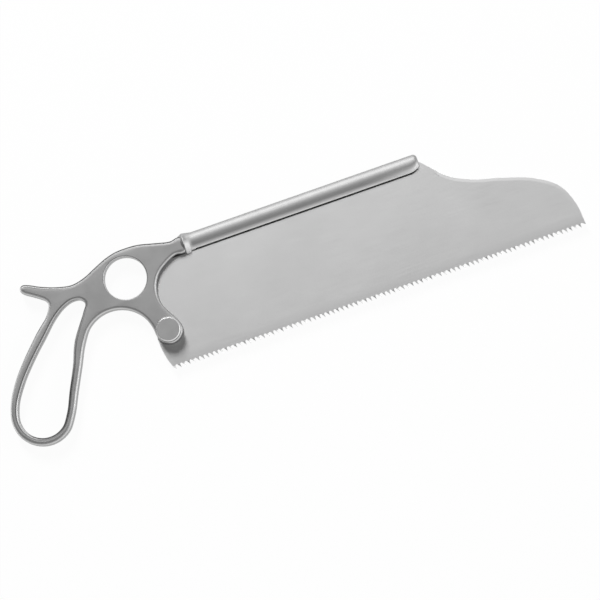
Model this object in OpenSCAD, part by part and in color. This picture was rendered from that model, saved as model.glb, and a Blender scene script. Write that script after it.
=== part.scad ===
// Amputation saw: a flat metal handle, a slotted oval back and a blade that a knob clamps at its heel.
// X runs along the blade to its toe, Y up to the back, and Z out of the side with the knob.
// The origin is the centre of the finger hole, in the middle of the blade's thickness.

/* [Handle] */
// Diameter of the round finger hole
finger_hole_d = 25; // [22:0.5:26]
// Metal over the finger hole, at the handle's highest point
hole_rim = 4.3; // [3.5:0.1:7]
// Rounding of the finger hole's two edges
hole_edge_r = 0.8; // [0.4:0.1:1.2]
// Thickness of the handle
handle_t = 8; // [7:0.5:10]
// Rounding of the handle's long edges
handle_edge_r = 2.1; // [1.4:0.1:2.2]
// Distance of the saddle behind the finger hole
saddle_back = 30.6; // [27:0.2:35]
// Height of the saddle over the finger hole's centre
saddle_rise = 6.8; // [5:0.2:8]
// Distance of the horn's tip behind the finger hole
horn_reach = 60.5; // [56:0.5:68]
// Height of the horn's tip over the finger hole's centre
horn_rise = 13.4; // [10:0.2:17]
// Width of the horn at its blunt tip
horn_w = 5.4; // [5:0.1:7]
// Distance of the crotch under the horn behind the finger hole
crotch_back = 47.4; // [44:0.2:50]

/* [Finger loop] */
// Distance of the loop's far side behind the finger hole
loop_reach = 89.3; // [84:0.5:98]
// Depth of the loop's lowest point under the finger hole's centre
loop_drop = 77.6; // [72:0.5:86]
// Outer radius of the loop's round end
loop_end_r = 18.5; // [17:0.25:20.5]
// Width of the loop's bar round its end
bar_w = 4.7; // [4.5:0.1:5.5]
// Width of the loop's bars where they leave the plate
bar_root_w = 6.3; // [5.6:0.1:7]
// Outward bow of the loop's rear bar
bar_bow = 5.8; // [4:0.2:8]
// Metal between the finger hole and the loop
web_w = 14.5; // [12:0.5:17]
// Metal between the saddle and the loop
saddle_w = 9.3; // [8:0.1:11]

/* [Arch and throat] */
// Radius of the open arch between the loop and the lower arm
arch_r = 21; // [19:0.25:22]
// Distance of the arch's centre behind the finger hole
arch_back = 14.9; // [13:0.1:17]
// Depth of the arch's centre under the finger hole
arch_drop = 36.3; // [34:0.2:40]
// Radius of the throat that faces the blade
throat_r = 18.5; // [17:0.25:20]
// Distance of the throat's deepest point ahead of the finger hole
throat_ahead = 14.7; // [14:0.1:16]
// Depth of the throat's centre under the finger hole
throat_drop = 16.4; // [15:0.2:18]
// Height of the neck's upper edge over the finger hole's centre
neck_top = 11.9; // [11.4:0.1:13.5]
// Height of the neck's lower edge over the finger hole's centre
neck_bottom = 3.3; // [2:0.1:3.6]

/* [Back] */
// Height of the oval back, across its axis
spine_h = 10.4; // [9:0.2:12]
// Thickness of the oval back
spine_t = 7; // [6.4:0.1:9]
// Height of the back's axis over the finger hole's centre
spine_rise = 8.1; // [7.9:0.1:9]
// Length of the back, from the collar to its nose
spine_len = 138.8; // [120:1:160]
// Rounding of the nose
nose_r = 3; // [2:0.25:4]
// Diameter of the tang in the neck
tang_d = 5; // [4:0.25:5.5]
// Depth of the tang in the neck
tang_depth = 14; // [11:0.5:16]
// Diameter of the two cross pins
pin_d = 2; // [1.5:0.1:2.4]
// Distance of the collar's rear face ahead of the finger hole
collar_ahead = 33.4; // [32:0.2:36]
// Largest height of the oval collar
collar_h = 12.5; // [12:0.25:15]
// Largest thickness of the oval collar
collar_t = 10; // [9.6:0.1:12]
// Length of the collar
collar_len = 11; // [9:0.5:14]

/* [Blade] */
// Thickness of the blade
blade_t = 1.2; // [0.8:0.1:1.6]
// Width of the blade under the finger hole's centre, down to the tooth tips
blade_drop = 59.7; // [56:0.2:68]
// Distance of the first tooth ahead of the finger hole
heel_ahead = 9.9; // [8:0.1:12]
// Number of teeth
tooth_n = 88; // [80:1:92]
// Distance from tooth to tooth
tooth_pitch = 2.85; // [2.6:0.05:3.1]
// Depth of the teeth
tooth_depth = 2.7; // [2:0.1:3.2]
// Radius of the round gullets
gullet_r = 0.75; // [0.5:0.05:0.85]
// Depth of the blade's rear edge in the throat's slot
blade_tuck = 3.5; // [2.5:0.1:3.8]
// Height of the blade's rounded toe over its gullets
toe_rise = 33; // [26:0.5:36]

/* [Clamp] */
// Distance of the clamp stud ahead of the finger hole
stud_ahead = 14.4; // [13.6:0.1:15]
// Depth of the clamp stud under the finger hole's centre
stud_drop = 37.1; // [36:0.1:40]
// Diameter of the stud
stud_d = 5; // [4:0.25:5.5]
// Radius of the lower arm's round end
boss_r = 8; // [7.6:0.1:8.8]
// Radius of the fork's slot round the stud
fork_r = 12.6; // [12:0.1:13.5]
// Diameter of the knob
knob_d = 14.5; // [12:0.25:16]
// Thickness of the knob
knob_t = 4; // [3:0.25:6]
// Chamfer round the knob's face
knob_chamfer = 0.7; // [0.3:0.1:1]
// Diameter of the washer under the knob
washer_d = 13.6; // [10:0.2:16]
// Thickness of the washer
washer_t = 1; // [0.6:0.1:2]
// Outer diameter of the threaded bush
bush_d = 8; // [7:0.25:10]

/* [Fits] */
// Clearance of the blade on each side in its slots
blade_side_fit = 0.1; // [0.05:0.01:0.2]
// Clearance of the blade's hidden edges in its slots
blade_edge_fit = 0.4; // [0.3:0.05:0.8]
// Radial clearance of the stud in the blade and in the front cheek
stud_fit = 0.1; // [0.05:0.01:0.2]
// Radial clearance of pieces that are driven or screwed home
seat_fit = 0.02; // [0.01:0.01:0.04]

/* [Hidden] */
$fn = 64;

steel = [0.69, 0.69, 0.68];
blade_steel = [0.76, 0.76, 0.76];
past = 1; // how far cutters run past the faces that they cut

hole_r = finger_hole_d / 2;
face_z = handle_t / 2;
slot_w = blade_t + 2 * blade_side_fit;
stud_at = [stud_ahead, -stud_drop];
arch_at = [-arch_back, -arch_drop];
throat_at = [throat_ahead + throat_r, -throat_drop];
loop_end_at = [loop_end_r - loop_reach, loop_end_r - loop_drop];
spine_ahead = collar_ahead + collar_len;
nose_ahead = spine_ahead + spine_len;
gullet_y = tooth_depth - blade_drop;
toe_ahead = heel_ahead + tooth_n * tooth_pitch + tooth_pitch / 2;
// The blade's top edge lies at the back's axis, and lower behind the back, where the tang runs.
tang_cover = 1.2;
blade_top = spine_rise - blade_edge_fit / 2;
shoulder_y = spine_rise - tang_d / 2 - tang_cover;
washer_z = face_z;
knob_z = washer_z + washer_t;
knob_top = 0.8; // metal over the stud's end in the knob
stud_recess = 0.2; // depth of the stud's other end under the handle's rear face
curve_steps = 3; // pieces of a curve between two of its points
blade_steps = 8; // the same for the blade's toe and heel
edge_steps = 3; // flat strips round an edge
oval_sides = 40; // sides of an oval slice
nose_steps = 5; // slices round the back's nose

function lerp(a, b, u) = a + (b - a) * u;
function unit(v) = v / norm(v);
function left_of(v) = [-v[1], v[0]];
function polar(c, r, a) = c + r * [cos(a), sin(a)];
function arc(c, r, from, to, n) = [for (i = [0:n]) polar(c, r, lerp(from, to, i / n))];
// A point at share u of the way from a to b, moved to the left by off
function beside(a, b, u, off) = lerp(a, b, u) + off * left_of(unit(b - a));
// Direction of a curve at b, between its neighbours a and c
function heading(a, b, c) =
    let (u = norm(b - a), v = norm(c - b)) ((b - a) * v / u + (c - b) * u / v) / (u + v);
// A point at share t of the curve from b to c, where a comes before and d after
function spline_at(a, b, c, d, t) =
    let (span = norm(c - b), from = a == b ? (c - b) / span : heading(a, b, c),
        to = c == d ? (c - b) / span : heading(b, c, d))
    (1 + 2 * t) * (1 - t) ^ 2 * b + t * (1 - t) ^ 2 * span * from
    + t ^ 2 * (3 - 2 * t) * c - t ^ 2 * (1 - t) * span * to;
// A smooth closed curve through points
function smooth_ring(p, n) =
    let (m = len(p))
    [for (i = [0:m - 1], k = [0:n - 1])
        spline_at(p[(i + m - 1) % m], p[i], p[(i + 1) % m], p[(i + 2) % m], k / n)];
// A smooth open curve through points
function smooth_run(p, n) =
    let (m = len(p))
    concat([for (i = [0:m - 2], k = [0:n - 1])
        spline_at(p[max(i - 1, 0)], p[i], p[i + 1], p[min(i + 2, m - 1)], k / n)], [p[m - 1]]);
// A closed counter-clockwise path moved inwards
function inset(p, d) =
    let (m = len(p))
    [for (i = [0:m - 1]) p[i] + d * left_of(unit(p[(i + 1) % m] - p[(i + m - 1) % m]))];

// Triangles that fill a counter-clockwise path, cut off it one corner at a time
function turn(a, b, c) = (b[0] - a[0]) * (c[1] - a[1]) - (b[1] - a[1]) * (c[0] - a[0]);
function holds(p, a, b, c) = turn(a, b, p) >= 0 && turn(b, c, p) >= 0 && turn(c, a, p) >= 0;
function corner(ring, i) = let (m = len(ring)) [ring[(i + m - 1) % m], ring[i], ring[(i + 1) % m]];
function longest(a, b, c) = max(norm(b - a), norm(c - b), norm(a - c));
function is_ear(p, ring, t, slim) =
    let (a = p[t[0]], b = p[t[1]], c = p[t[2]])
    turn(a, b, c) > slim * longest(a, b, c) ^ 2
    && len([for (k = ring) if (k != t[0] && k != t[1] && k != t[2] && holds(p[k], a, b, c)) k]) == 0;
// The next corner that can be cut off, with slim ones last
function ear(p, ring, i, slim = 0.3) =
    i == len(ring) ? ear(p, ring, 0, slim > 0.001 ? slim / 3 : 0)
    : is_ear(p, ring, corner(ring, i), slim) ? i : ear(p, ring, i + 1, slim);
function fill(p, ring, done = []) =
    len(ring) == 3 ? concat(done, [ring])
    : let (i = ear(p, ring, 0))
      fill(p, [for (k = [0:len(ring) - 1]) if (k != i) ring[k]], concat(done, [corner(ring, i)]));

// A solid with the path's outline, whose wall follows a profile of [inset, height] pairs from below
module walled_solid(path, profile) {
    m = len(path);
    top = (len(profile) - 1) * m;
    cap = fill(path, [for (i = [0:m - 1]) i]);
    polyhedron(
        points = [for (s = profile) for (q = inset(path, s[0])) [q[0], q[1], s[1]]],
        faces = concat(
            [for (k = [0:len(profile) - 2], i = [0:m - 1], half = [0, 1])
                let (a = k * m + i, b = k * m + (i + 1) % m)
                half == 0 ? [a, a + m, b + m] : [a, b + m, b]],
            [for (t = cap) t],
            [for (t = cap) [top + t[2], top + t[1], top + t[0]]]));
}

// Profile of a wall with rounded edges: outwards for a plate, inwards for a hole that flares
function rounded_wall(t, r, flare) =
    let (upper = [for (i = [0:edge_steps])
            let (a = 90 * i / edge_steps) [(flare ? -1 : 1) * r * (1 - cos(a)), t / 2 - r + r * sin(a)]],
        last = upper[edge_steps],
        rim = flare ? [last + 0.3 * (last - upper[edge_steps - 1])] : [],
        half = concat(upper, rim),
        n = len(half))
    concat([for (i = [n - 1:-1:0]) [half[i][0], -half[i][1]]], half);

// A solid of oval slices along X, each given as [place, half height, half thickness]
module oval_loft(slices) {
    n = oval_sides;
    top = (len(slices) - 1) * n;
    polyhedron(
        points = [for (s = slices, i = [0:n - 1])
            let (a = 360 * i / n) [s[0], s[1] * cos(a), s[2] * sin(a)]],
        faces = concat(
            [for (k = [0:len(slices) - 2], i = [0:n - 1], half = [0, 1])
                let (a = k * n + i, b = k * n + (i + 1) % n)
                half == 0 ? [a, a + n, b + n] : [a, b + n, b]],
            [for (i = [1:n - 2]) [0, i, i + 1]],
            [for (i = [1:n - 2]) [top + i + 1, top + i, top]]));
}

// Points of the handle's outline, counter-clockwise from the neck
horn_tip = [horn_w / 2 - horn_reach, horn_rise];
crotch = [-crotch_back, 0.6];
crotch_end = crotch + [-1.1, -3];
loop_rear = polar(loop_end_at, loop_end_r, 180);
loop_front = polar(loop_end_at, loop_end_r, 336);
arch_rear = polar(arch_at, arch_r, 155);
neck_end = collar_ahead + 4;
hole_top = hole_r + hole_rim;
// Points of the rear bar: share of its way, share of its bow
bow_shares = [[0.22, 0.41], [0.45, 0.83], [0.66, 1], [0.85, 0.76]];
function bar_width(u) = lerp(bar_root_w, bar_w, u);

top_edge = [
    [collar_ahead - 2, neck_top], [lerp(hole_r, collar_ahead, 0.5), neck_top + 1.9],
    [hole_r - 1, hole_top - 0.3], [hole_r - 7, hole_top], [hole_r - 13, hole_top - 0.2],
    [-0.53 * hole_r, hole_top - 1.6], [-hole_r - 2.8, saddle_rise + 4.9], [-hole_r - 9.8, saddle_rise + 1.8],
    [-saddle_back, saddle_rise]];
horn = [
    [-lerp(saddle_back, horn_reach, 0.3), saddle_rise + 1.7],
    [-lerp(saddle_back, horn_reach, 0.6), lerp(saddle_rise, horn_rise + horn_w / 2, 0.55)],
    each arc(horn_tip, horn_w / 2, 60, 235, 6),
    beside(horn_tip, crotch, 0.36, -1.2), beside(horn_tip, crotch, 0.62, 0),
    crotch + [-0.9, 2.2], crotch, crotch_end];
loop_outer = concat(
    [for (s = bow_shares) beside(crotch_end, loop_rear, s[0], -bar_bow * s[1])],
    arc(loop_end_at, loop_end_r, 180, 336, 6),
    [for (u = [0.33, 0.67]) lerp(loop_front, arch_rear, u)]);
arm = concat(
    arc(arch_at, arch_r, 155, 8, 6),
    arc(stud_at, boss_r, 186, 390, 7),
    arc(throat_at, throat_r, 213, 116, 5),
    [[collar_ahead - 3.5, neck_bottom - 0.7], [collar_ahead - 1, neck_bottom]],
    arc([neck_end, (neck_top + neck_bottom) / 2], (neck_top - neck_bottom) / 2, -90, 90, 4));
handle_outline = smooth_ring(concat(top_edge, horn, loop_outer, arm), curve_steps);

// Points of the loop's inside, counter-clockwise from its rear bar
loop_roof = saddle_rise - saddle_w;
loop_corner = [-hole_r - web_w, loop_roof - 3.4];
loop_inner = concat(
    [for (s = bow_shares) beside(crotch_end, loop_rear, s[0], bar_width(s[0]) - bar_bow * s[1])],
    arc(loop_end_at, loop_end_r - bar_w, 180, 336, 6),
    [for (u = [0.33, 0.67]) beside(loop_front, arch_rear, u, bar_width(1 - u / 2))],
    [beside(loop_front, arch_rear, 0.98, bar_root_w), loop_corner + [-7.2, -11], loop_corner + [-2.4, -4.4],
     loop_corner, loop_corner + [-1.6, 2.4], [loop_corner[0] - 6, loop_roof],
     [loop_corner[0] - 12, loop_roof - 1.7], [loop_corner[0] - 18.4, loop_roof - 5.8]]);
loop_outline = smooth_ring(loop_inner, curve_steps);

// A bore along Z from below one face to above the other, with rounded edges
module rounded_bore(r, t, edge) {
    side = [for (i = [0:edge_steps])
        let (a = 90 * i / edge_steps) [r + edge * (1 - cos(a)), t / 2 - edge + edge * sin(a)]];
    reach = r + edge;
    rotate_extrude()
        polygon(concat([[0, -t / 2 - past], [reach, -t / 2 - past]],
            [for (i = [edge_steps:-1:0]) [side[i][0], -side[i][1]]], side,
            [[reach, t / 2 + past], [0, t / 2 + past]]));
}

// The slot for the blade's rear edge and heel: the throat's ring, and the fork round the stud
module blade_slot() {
    roof = shoulder_y + blade_edge_fit;
    reach = throat_r + blade_tuck + blade_edge_fit;
    translate([0, 0, -slot_w / 2]) linear_extrude(slot_w) {
        translate(stud_at) circle(fork_r);
        intersection() {
            translate(throat_at) circle(reach);
            translate([throat_at[0] - reach - past, roof - 3 * reach]) square([3 * reach, 3 * reach]);
        }
    }
}

// Bores along Z for the two cross pins
pin_places = [for (u = [0.32, 0.68]) [collar_ahead - u * tang_depth, spine_rise]];
module pin_bores() {
    for (p = pin_places)
        translate([p[0], p[1], -face_z - past]) cylinder(d = pin_d + 2 * seat_fit, h = handle_t + 2 * past);
}

// Handle: plate with finger hole, horn, loop, arch and forked lower arm
module handle_frame() {
    color(steel) difference() {
        walled_solid(handle_outline, rounded_wall(handle_t, handle_edge_r, false));
        walled_solid(loop_outline, rounded_wall(handle_t, handle_edge_r, true));
        rounded_bore(hole_r, handle_t, hole_edge_r);
        blade_slot();
        translate([collar_ahead, spine_rise - 2 * collar_h, -collar_h])
            cube([2 * collar_h, 4 * collar_h, 2 * collar_h]);
        translate([collar_ahead - tang_depth - blade_edge_fit, spine_rise, 0]) rotate([0, 90, 0])
            cylinder(d = tang_d + 2 * seat_fit, h = tang_depth + 2 * past);
        pin_bores();
        translate([stud_ahead, -stud_drop, 0]) cylinder(d = stud_d + 2 * stud_fit, h = face_z + past);
        translate([stud_ahead, -stud_drop, -face_z - past])
            cylinder(d = bush_d + 2 * seat_fit, h = face_z + past - blade_t / 2);
    }
}

// Collar: oval ring on the tang, slotted under the tang for the blade
module spine_collar() {
    root = [(neck_top - neck_bottom) / 2 + 0.5, face_z + 0.4]; // half height and half thickness at the neck
    peak = [collar_h / 2, collar_t / 2];
    back = [spine_h / 2, spine_t / 2];
    peak_from = 3.6;
    peak_to = 5.4;
    fillet = [for (i = [1:5])
        let (u = i / 5, fall = 1 - (1 - u) ^ 2) [lerp(peak_to, collar_len, u), each lerp(peak, back, fall)]];
    slices = concat(
        [[0, each root], [peak_from - 0.8, each lerp(root, peak, 0.75)], [peak_from, each peak],
         [peak_to, each peak]], fillet);
    color(steel) difference() {
        translate([collar_ahead, spine_rise, 0]) oval_loft(slices);
        translate([collar_ahead - past, spine_rise, 0]) rotate([0, 90, 0])
            cylinder(d = tang_d + 2 * seat_fit, h = collar_len + 2 * past);
        translate([collar_ahead - past, shoulder_y + blade_edge_fit - 2 * collar_h, -slot_w / 2])
            cube([collar_len + 2 * past, 2 * collar_h, slot_w]);
    }
}

// Back: oval bar with a slot for the blade's top edge, a rounded nose and a round tang
module back_spine() {
    high = spine_h / 2;
    nose = [for (i = [0:nose_steps])
        let (a = 90 * i / nose_steps, size = 1 - nose_r / high * (1 - cos(a)))
        [spine_len - nose_r + nose_r * sin(a), high * size, spine_t / 2 * size]];
    tang_len = collar_len + tang_depth;
    color(steel) difference() {
        translate([spine_ahead, spine_rise, 0]) {
            oval_loft(concat([[0, high, spine_t / 2]], nose));
            translate([-tang_len, 0, 0]) rotate([0, 90, 0]) cylinder(d = tang_d, h = tang_len + past);
        }
        translate([spine_ahead - past, spine_rise - spine_h, -slot_w / 2])
            cube([spine_len + 2 * past, spine_h, slot_w]);
        pin_bores();
    }
}

// Two cross pins, flush with the handle's faces
module tang_pins() {
    pin_end = 0.05; // how far a pin's end lies under the face
    color(steel)
        for (p = pin_places)
            translate([p[0], p[1], pin_end - face_z]) cylinder(d = pin_d, h = handle_t - 2 * pin_end);
}

// One tooth: the tip, then the round gullet ahead of it, its tip leaning to the toe
tooth_lean = 0.2;
function tooth(i) =
    let (tip = [heel_ahead + (i + 0.5) * tooth_pitch, -blade_drop],
        gullet = [tip[0] - tooth_lean + gullet_r, gullet_y - gullet_r])
    concat([tip], arc(gullet, gullet_r, 180, 20, 4));

// Points of the toe, from the last tooth up to the back's nose
toe_edge = smooth_run([
    [toe_ahead, gullet_y - tooth_depth / 2], [toe_ahead - 1.3, gullet_y + 0.35 * toe_rise],
    [toe_ahead - 6.8, gullet_y + 0.74 * toe_rise], [toe_ahead - 18.7, gullet_y + 1.01 * toe_rise],
    [lerp(nose_ahead, toe_ahead, 0.53), gullet_y + 1.22 * toe_rise], [nose_ahead + 24.4, blade_top - 19.5],
    [nose_ahead + 12.6, blade_top - 13.2], [nose_ahead + 4, blade_top - 4.4], [nose_ahead, blade_top]], blade_steps);

// Points of the hidden rear edge, from the shoulder under the tang down to the heel
tuck_r = throat_r + blade_tuck;
tuck_from = 180 - asin((shoulder_y - throat_at[1]) / tuck_r);
heel_r = boss_r - 0.4;
rear_edge = concat(
    [[spine_ahead + blade_edge_fit, blade_top], [spine_ahead + blade_edge_fit, shoulder_y]],
    arc(throat_at, tuck_r, tuck_from, 203, 12),
    arc(stud_at, heel_r, 130, 182, 5));
heel_edge = smooth_run([
    stud_at + [-boss_r - 0.1, -2.4], stud_at + [-boss_r + 0.2, -8.2], stud_at + [-boss_r + 0.8, -12.4],
    [heel_ahead - 1.9, gullet_y + 4], [heel_ahead, gullet_y - tooth_depth / 2]], blade_steps);

// Blade: toothed plate with a round hole for the stud
module saw_blade() {
    color(blade_steel) translate([0, 0, -blade_t / 2]) linear_extrude(blade_t) difference() {
        polygon(concat([for (i = [0:tooth_n - 1]) each tooth(i)], toe_edge, rear_edge, heel_edge));
        translate(stud_at) circle(d = stud_d + 2 * stud_fit);
    }
}

// Knob: flat-faced disc with chamfered edges, bored from below for the stud
module clamp_knob() {
    r = knob_d / 2;
    bore_r = stud_d / 2 + seat_fit;
    color(steel) translate([stud_ahead, -stud_drop, knob_z]) rotate_extrude()
        polygon([[bore_r, 0], [r - knob_chamfer / 2, 0], [r, knob_chamfer / 2], [r, knob_t - knob_chamfer],
            [r - knob_chamfer, knob_t], [0, knob_t], [0, knob_t - knob_top], [bore_r, knob_t - knob_top]]);
}

// Stud: the clamp's screw, from the knob through the fork and the blade into the bush
module clamp_stud() {
    low = stud_recess - face_z;
    high = knob_z + knob_t - knob_top - 0.05;
    lead = 0.4;
    r = stud_d / 2;
    color(steel) translate([stud_ahead, -stud_drop, 0]) rotate_extrude()
        polygon([[0, low], [r - lead, low], [r, low + lead], [r, high], [0, high]]);
}

// Washer between the knob and the handle's face
module clamp_washer() {
    color(steel) translate([stud_ahead, -stud_drop, washer_z]) difference() {
        cylinder(d = washer_d, h = washer_t);
        translate([0, 0, -past]) cylinder(d = stud_d + 2 * stud_fit, h = washer_t + 2 * past);
    }
}

// Bush: threaded insert in the fork's rear cheek
module threaded_bush() {
    color(steel) translate([stud_ahead, -stud_drop, -face_z]) difference() {
        cylinder(d = bush_d, h = face_z - slot_w / 2);
        translate([0, 0, -past]) cylinder(d = stud_d + 2 * seat_fit, h = face_z + 2 * past);
    }
}

handle_frame();
spine_collar();
back_spine();
tang_pins();
saw_blade();
clamp_knob();
clamp_stud();
clamp_washer();
threaded_bush();
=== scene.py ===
import math

import bpy
from mathutils import Matrix, Vector


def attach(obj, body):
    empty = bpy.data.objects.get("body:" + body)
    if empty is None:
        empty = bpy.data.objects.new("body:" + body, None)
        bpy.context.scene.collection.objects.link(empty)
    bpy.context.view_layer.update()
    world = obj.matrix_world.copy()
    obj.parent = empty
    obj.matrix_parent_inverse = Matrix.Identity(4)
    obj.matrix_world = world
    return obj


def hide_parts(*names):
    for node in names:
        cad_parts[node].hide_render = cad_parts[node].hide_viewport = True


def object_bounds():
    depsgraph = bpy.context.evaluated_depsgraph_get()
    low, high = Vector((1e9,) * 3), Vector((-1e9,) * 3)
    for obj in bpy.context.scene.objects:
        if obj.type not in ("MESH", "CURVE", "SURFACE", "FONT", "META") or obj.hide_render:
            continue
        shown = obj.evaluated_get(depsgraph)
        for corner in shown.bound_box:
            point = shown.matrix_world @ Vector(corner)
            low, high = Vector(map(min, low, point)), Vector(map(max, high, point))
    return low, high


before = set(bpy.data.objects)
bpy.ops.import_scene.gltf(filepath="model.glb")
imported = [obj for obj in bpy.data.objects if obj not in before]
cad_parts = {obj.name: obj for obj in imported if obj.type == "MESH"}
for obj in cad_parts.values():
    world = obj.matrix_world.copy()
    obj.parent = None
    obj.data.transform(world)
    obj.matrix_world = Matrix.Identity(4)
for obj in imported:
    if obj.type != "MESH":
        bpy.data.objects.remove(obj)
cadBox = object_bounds()
mm = 0.001
studPlace = (14.4, -37.1)  # where the clamp's stud stands, in millimetres like the other sizes of the saw
print("saw frame loaded")


# picking and shaping helpers, all places in millimetres
shapeSizes = {"mergeCopy": 0.001, "mergeShape": 0.0005, "flatWeight": 90}


def pickNothing():
    if bpy.context.object and bpy.context.object.mode != "OBJECT":
        bpy.ops.object.mode_set(mode="OBJECT")
    bpy.ops.object.select_all(action="DESELECT")


def pickOnly(piece):
    pickNothing()
    piece.select_set(True)
    bpy.context.view_layer.objects.active = piece


def editAll(piece):
    pickOnly(piece)
    bpy.ops.object.mode_set(mode="EDIT")
    bpy.ops.mesh.select_all(action="SELECT")


def startPicking(piece, kind):
    pickOnly(piece)
    bpy.ops.object.mode_set(mode="EDIT")
    bpy.ops.mesh.select_mode(type=kind)
    bpy.ops.mesh.select_all(action="DESELECT")
    bpy.ops.object.mode_set(mode="OBJECT")


def pickPoints(piece, test):
    startPicking(piece, "VERT")
    for point in piece.data.vertices:
        point.select = bool(test(point.co / mm))
    bpy.ops.object.mode_set(mode="EDIT")


def pickFaces(piece, test):
    startPicking(piece, "FACE")
    for face in piece.data.polygons:
        face.select = bool(test(face.center / mm, face.normal))
    bpy.ops.object.mode_set(mode="EDIT")


def mergedCopy(node, name):
    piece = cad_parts[node].copy()
    piece.data = piece.data.copy()
    piece.name = piece.data.name = name
    piece.parent = None
    for key in list(piece.keys()):
        del piece[key]
    piece.data.materials.clear()
    bpy.context.scene.collection.objects.link(piece)
    editAll(piece)
    bpy.ops.mesh.remove_doubles(threshold=shapeSizes["mergeCopy"] * mm)
    bpy.ops.object.mode_set(mode="OBJECT")
    return piece


def faceOutwards(piece):
    editAll(piece)
    bpy.ops.mesh.remove_doubles(threshold=shapeSizes["mergeShape"] * mm)
    bpy.ops.mesh.normals_make_consistent(inside=False)
    bpy.ops.object.mode_set(mode="OBJECT")


def applyModifier(piece, modifier):
    pickOnly(piece)
    bpy.ops.object.modifier_apply(modifier=modifier.name)


def cutAway(piece, cutter):
    cut = piece.modifiers.new("cut", "BOOLEAN")
    cut.operation = "DIFFERENCE"
    cut.solver = "EXACT"
    cut.object = cutter
    applyModifier(piece, cut)
    bpy.data.objects.remove(cutter)


def softEdges(piece, width, steps, angle):
    bevel = piece.modifiers.new("edges", "BEVEL")
    bevel.width = width * mm
    bevel.segments = steps
    bevel.limit_method = "ANGLE"
    bevel.angle_limit = math.radians(angle)
    bevel.use_clamp_overlap = True
    applyModifier(piece, bevel)


def smoothFaces(piece, angle):
    pickOnly(piece)
    bpy.ops.object.shade_smooth_by_angle(angle=math.radians(angle))
    flats = piece.modifiers.new("flats", "WEIGHTED_NORMAL")
    flats.keep_sharp = True
    flats.weight = shapeSizes["flatWeight"]
    applyModifier(piece, flats)


# a solid turned about the Z direction, from steps of (radius, height)
def turnedPiece(name, steps, centre, sides):
    pickNothing()
    at = (centre[0] * mm, centre[1] * mm, 0)
    bpy.ops.mesh.primitive_circle_add(vertices=sides, radius=steps[0][0] * mm, fill_type="NGON",
                                      location=(at[0], at[1], steps[0][1] * mm))
    piece = bpy.context.active_object
    piece.name = piece.data.name = name
    bpy.ops.object.transform_apply(location=True, rotation=True, scale=True)
    bpy.ops.object.mode_set(mode="EDIT")
    bpy.ops.mesh.select_mode(type="FACE")
    bpy.ops.mesh.select_all(action="SELECT")
    for (r1, z1), (r2, z2) in zip(steps, steps[1:]):
        bpy.ops.mesh.extrude_region_move(TRANSFORM_OT_translate={"value": (0, 0, (z2 - z1) * mm)})
        bpy.ops.transform.resize(value=(r2 / r1, r2 / r1, 1), center_override=(at[0], at[1], z2 * mm))
    bpy.ops.object.mode_set(mode="OBJECT")
    faceOutwards(piece)
    return piece


# an oval bar along X, from slices of (place, half height, half thickness, lift) about the height of its axis
def ovalBar(name, slices, axisY, sides):
    pickNothing()
    x0, h0, t0, lift0 = slices[0]
    bpy.ops.mesh.primitive_circle_add(vertices=sides, radius=mm, fill_type="NGON",
                                      location=(x0 * mm, (axisY + lift0) * mm, 0), rotation=(0, math.pi / 2, 0))
    piece = bpy.context.active_object
    piece.name = piece.data.name = name
    bpy.ops.object.transform_apply(location=True, rotation=True, scale=True)
    bpy.ops.object.mode_set(mode="EDIT")
    bpy.ops.mesh.select_mode(type="FACE")
    bpy.ops.mesh.select_all(action="SELECT")
    bpy.ops.transform.resize(value=(1, h0, t0), center_override=(x0 * mm, (axisY + lift0) * mm, 0))
    for (x1, h1, t1, lift1), (x2, h2, t2, lift2) in zip(slices, slices[1:]):
        bpy.ops.mesh.extrude_region_move(TRANSFORM_OT_translate={"value": ((x2 - x1) * mm, (lift2 - lift1) * mm, 0)})
        bpy.ops.transform.resize(value=(1, h2 / h1, t2 / t1), center_override=(x2 * mm, (axisY + lift2) * mm, 0))
    bpy.ops.object.mode_set(mode="OBJECT")
    faceOutwards(piece)
    return piece


def boxCutter(low, high):
    pickNothing()
    middle = [(a + b) / 2 * mm for a, b in zip(low, high)]
    bpy.ops.mesh.primitive_cube_add(size=1, location=middle)
    cutter = bpy.context.active_object
    cutter.scale = [(b - a) * mm for a, b in zip(low, high)]
    bpy.ops.object.transform_apply(location=True, rotation=True, scale=True)
    return cutter


# node helpers
def mathNode(tree, operation, first, second=None):
    node = tree.nodes.new("ShaderNodeMath")
    node.operation = operation
    for socket, value in zip(node.inputs, (first, second)):
        if isinstance(value, (int, float)):
            socket.default_value = value
        elif value is not None:
            tree.links.new(value, socket)
    return node.outputs[0]


def productNode(tree, first, *others):
    for other in others:
        first = mathNode(tree, "MULTIPLY", first, other)
    return first


def restNode(tree, value):
    return mathNode(tree, "SUBTRACT", 1.0, value)


def coordParts(tree, kind):
    parts = tree.nodes.new("ShaderNodeSeparateXYZ")
    tree.links.new(tree.nodes.new("ShaderNodeTexCoord").outputs[kind], parts.inputs[0])
    return parts.outputs


def noiseNode(tree, place, scale, detail, roughness):
    node = tree.nodes.new("ShaderNodeTexNoise")
    node.inputs["Detail"].default_value = detail
    node.inputs["Roughness"].default_value = roughness
    tree.links.new(place, node.inputs["Vector"])
    tree.links.new(scale, node.inputs["Scale"])
    return node.outputs["Fac"]


def rangeNode(tree, value, low, high, fromLow=0.0, fromHigh=1.0):
    node = tree.nodes.new("ShaderNodeMapRange")
    tree.links.new(value, node.inputs["Value"])
    node.inputs["From Min"].default_value = fromLow
    node.inputs["From Max"].default_value = fromHigh
    node.inputs["To Min"].default_value = low
    node.inputs["To Max"].default_value = high
    return node.outputs["Result"]


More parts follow.
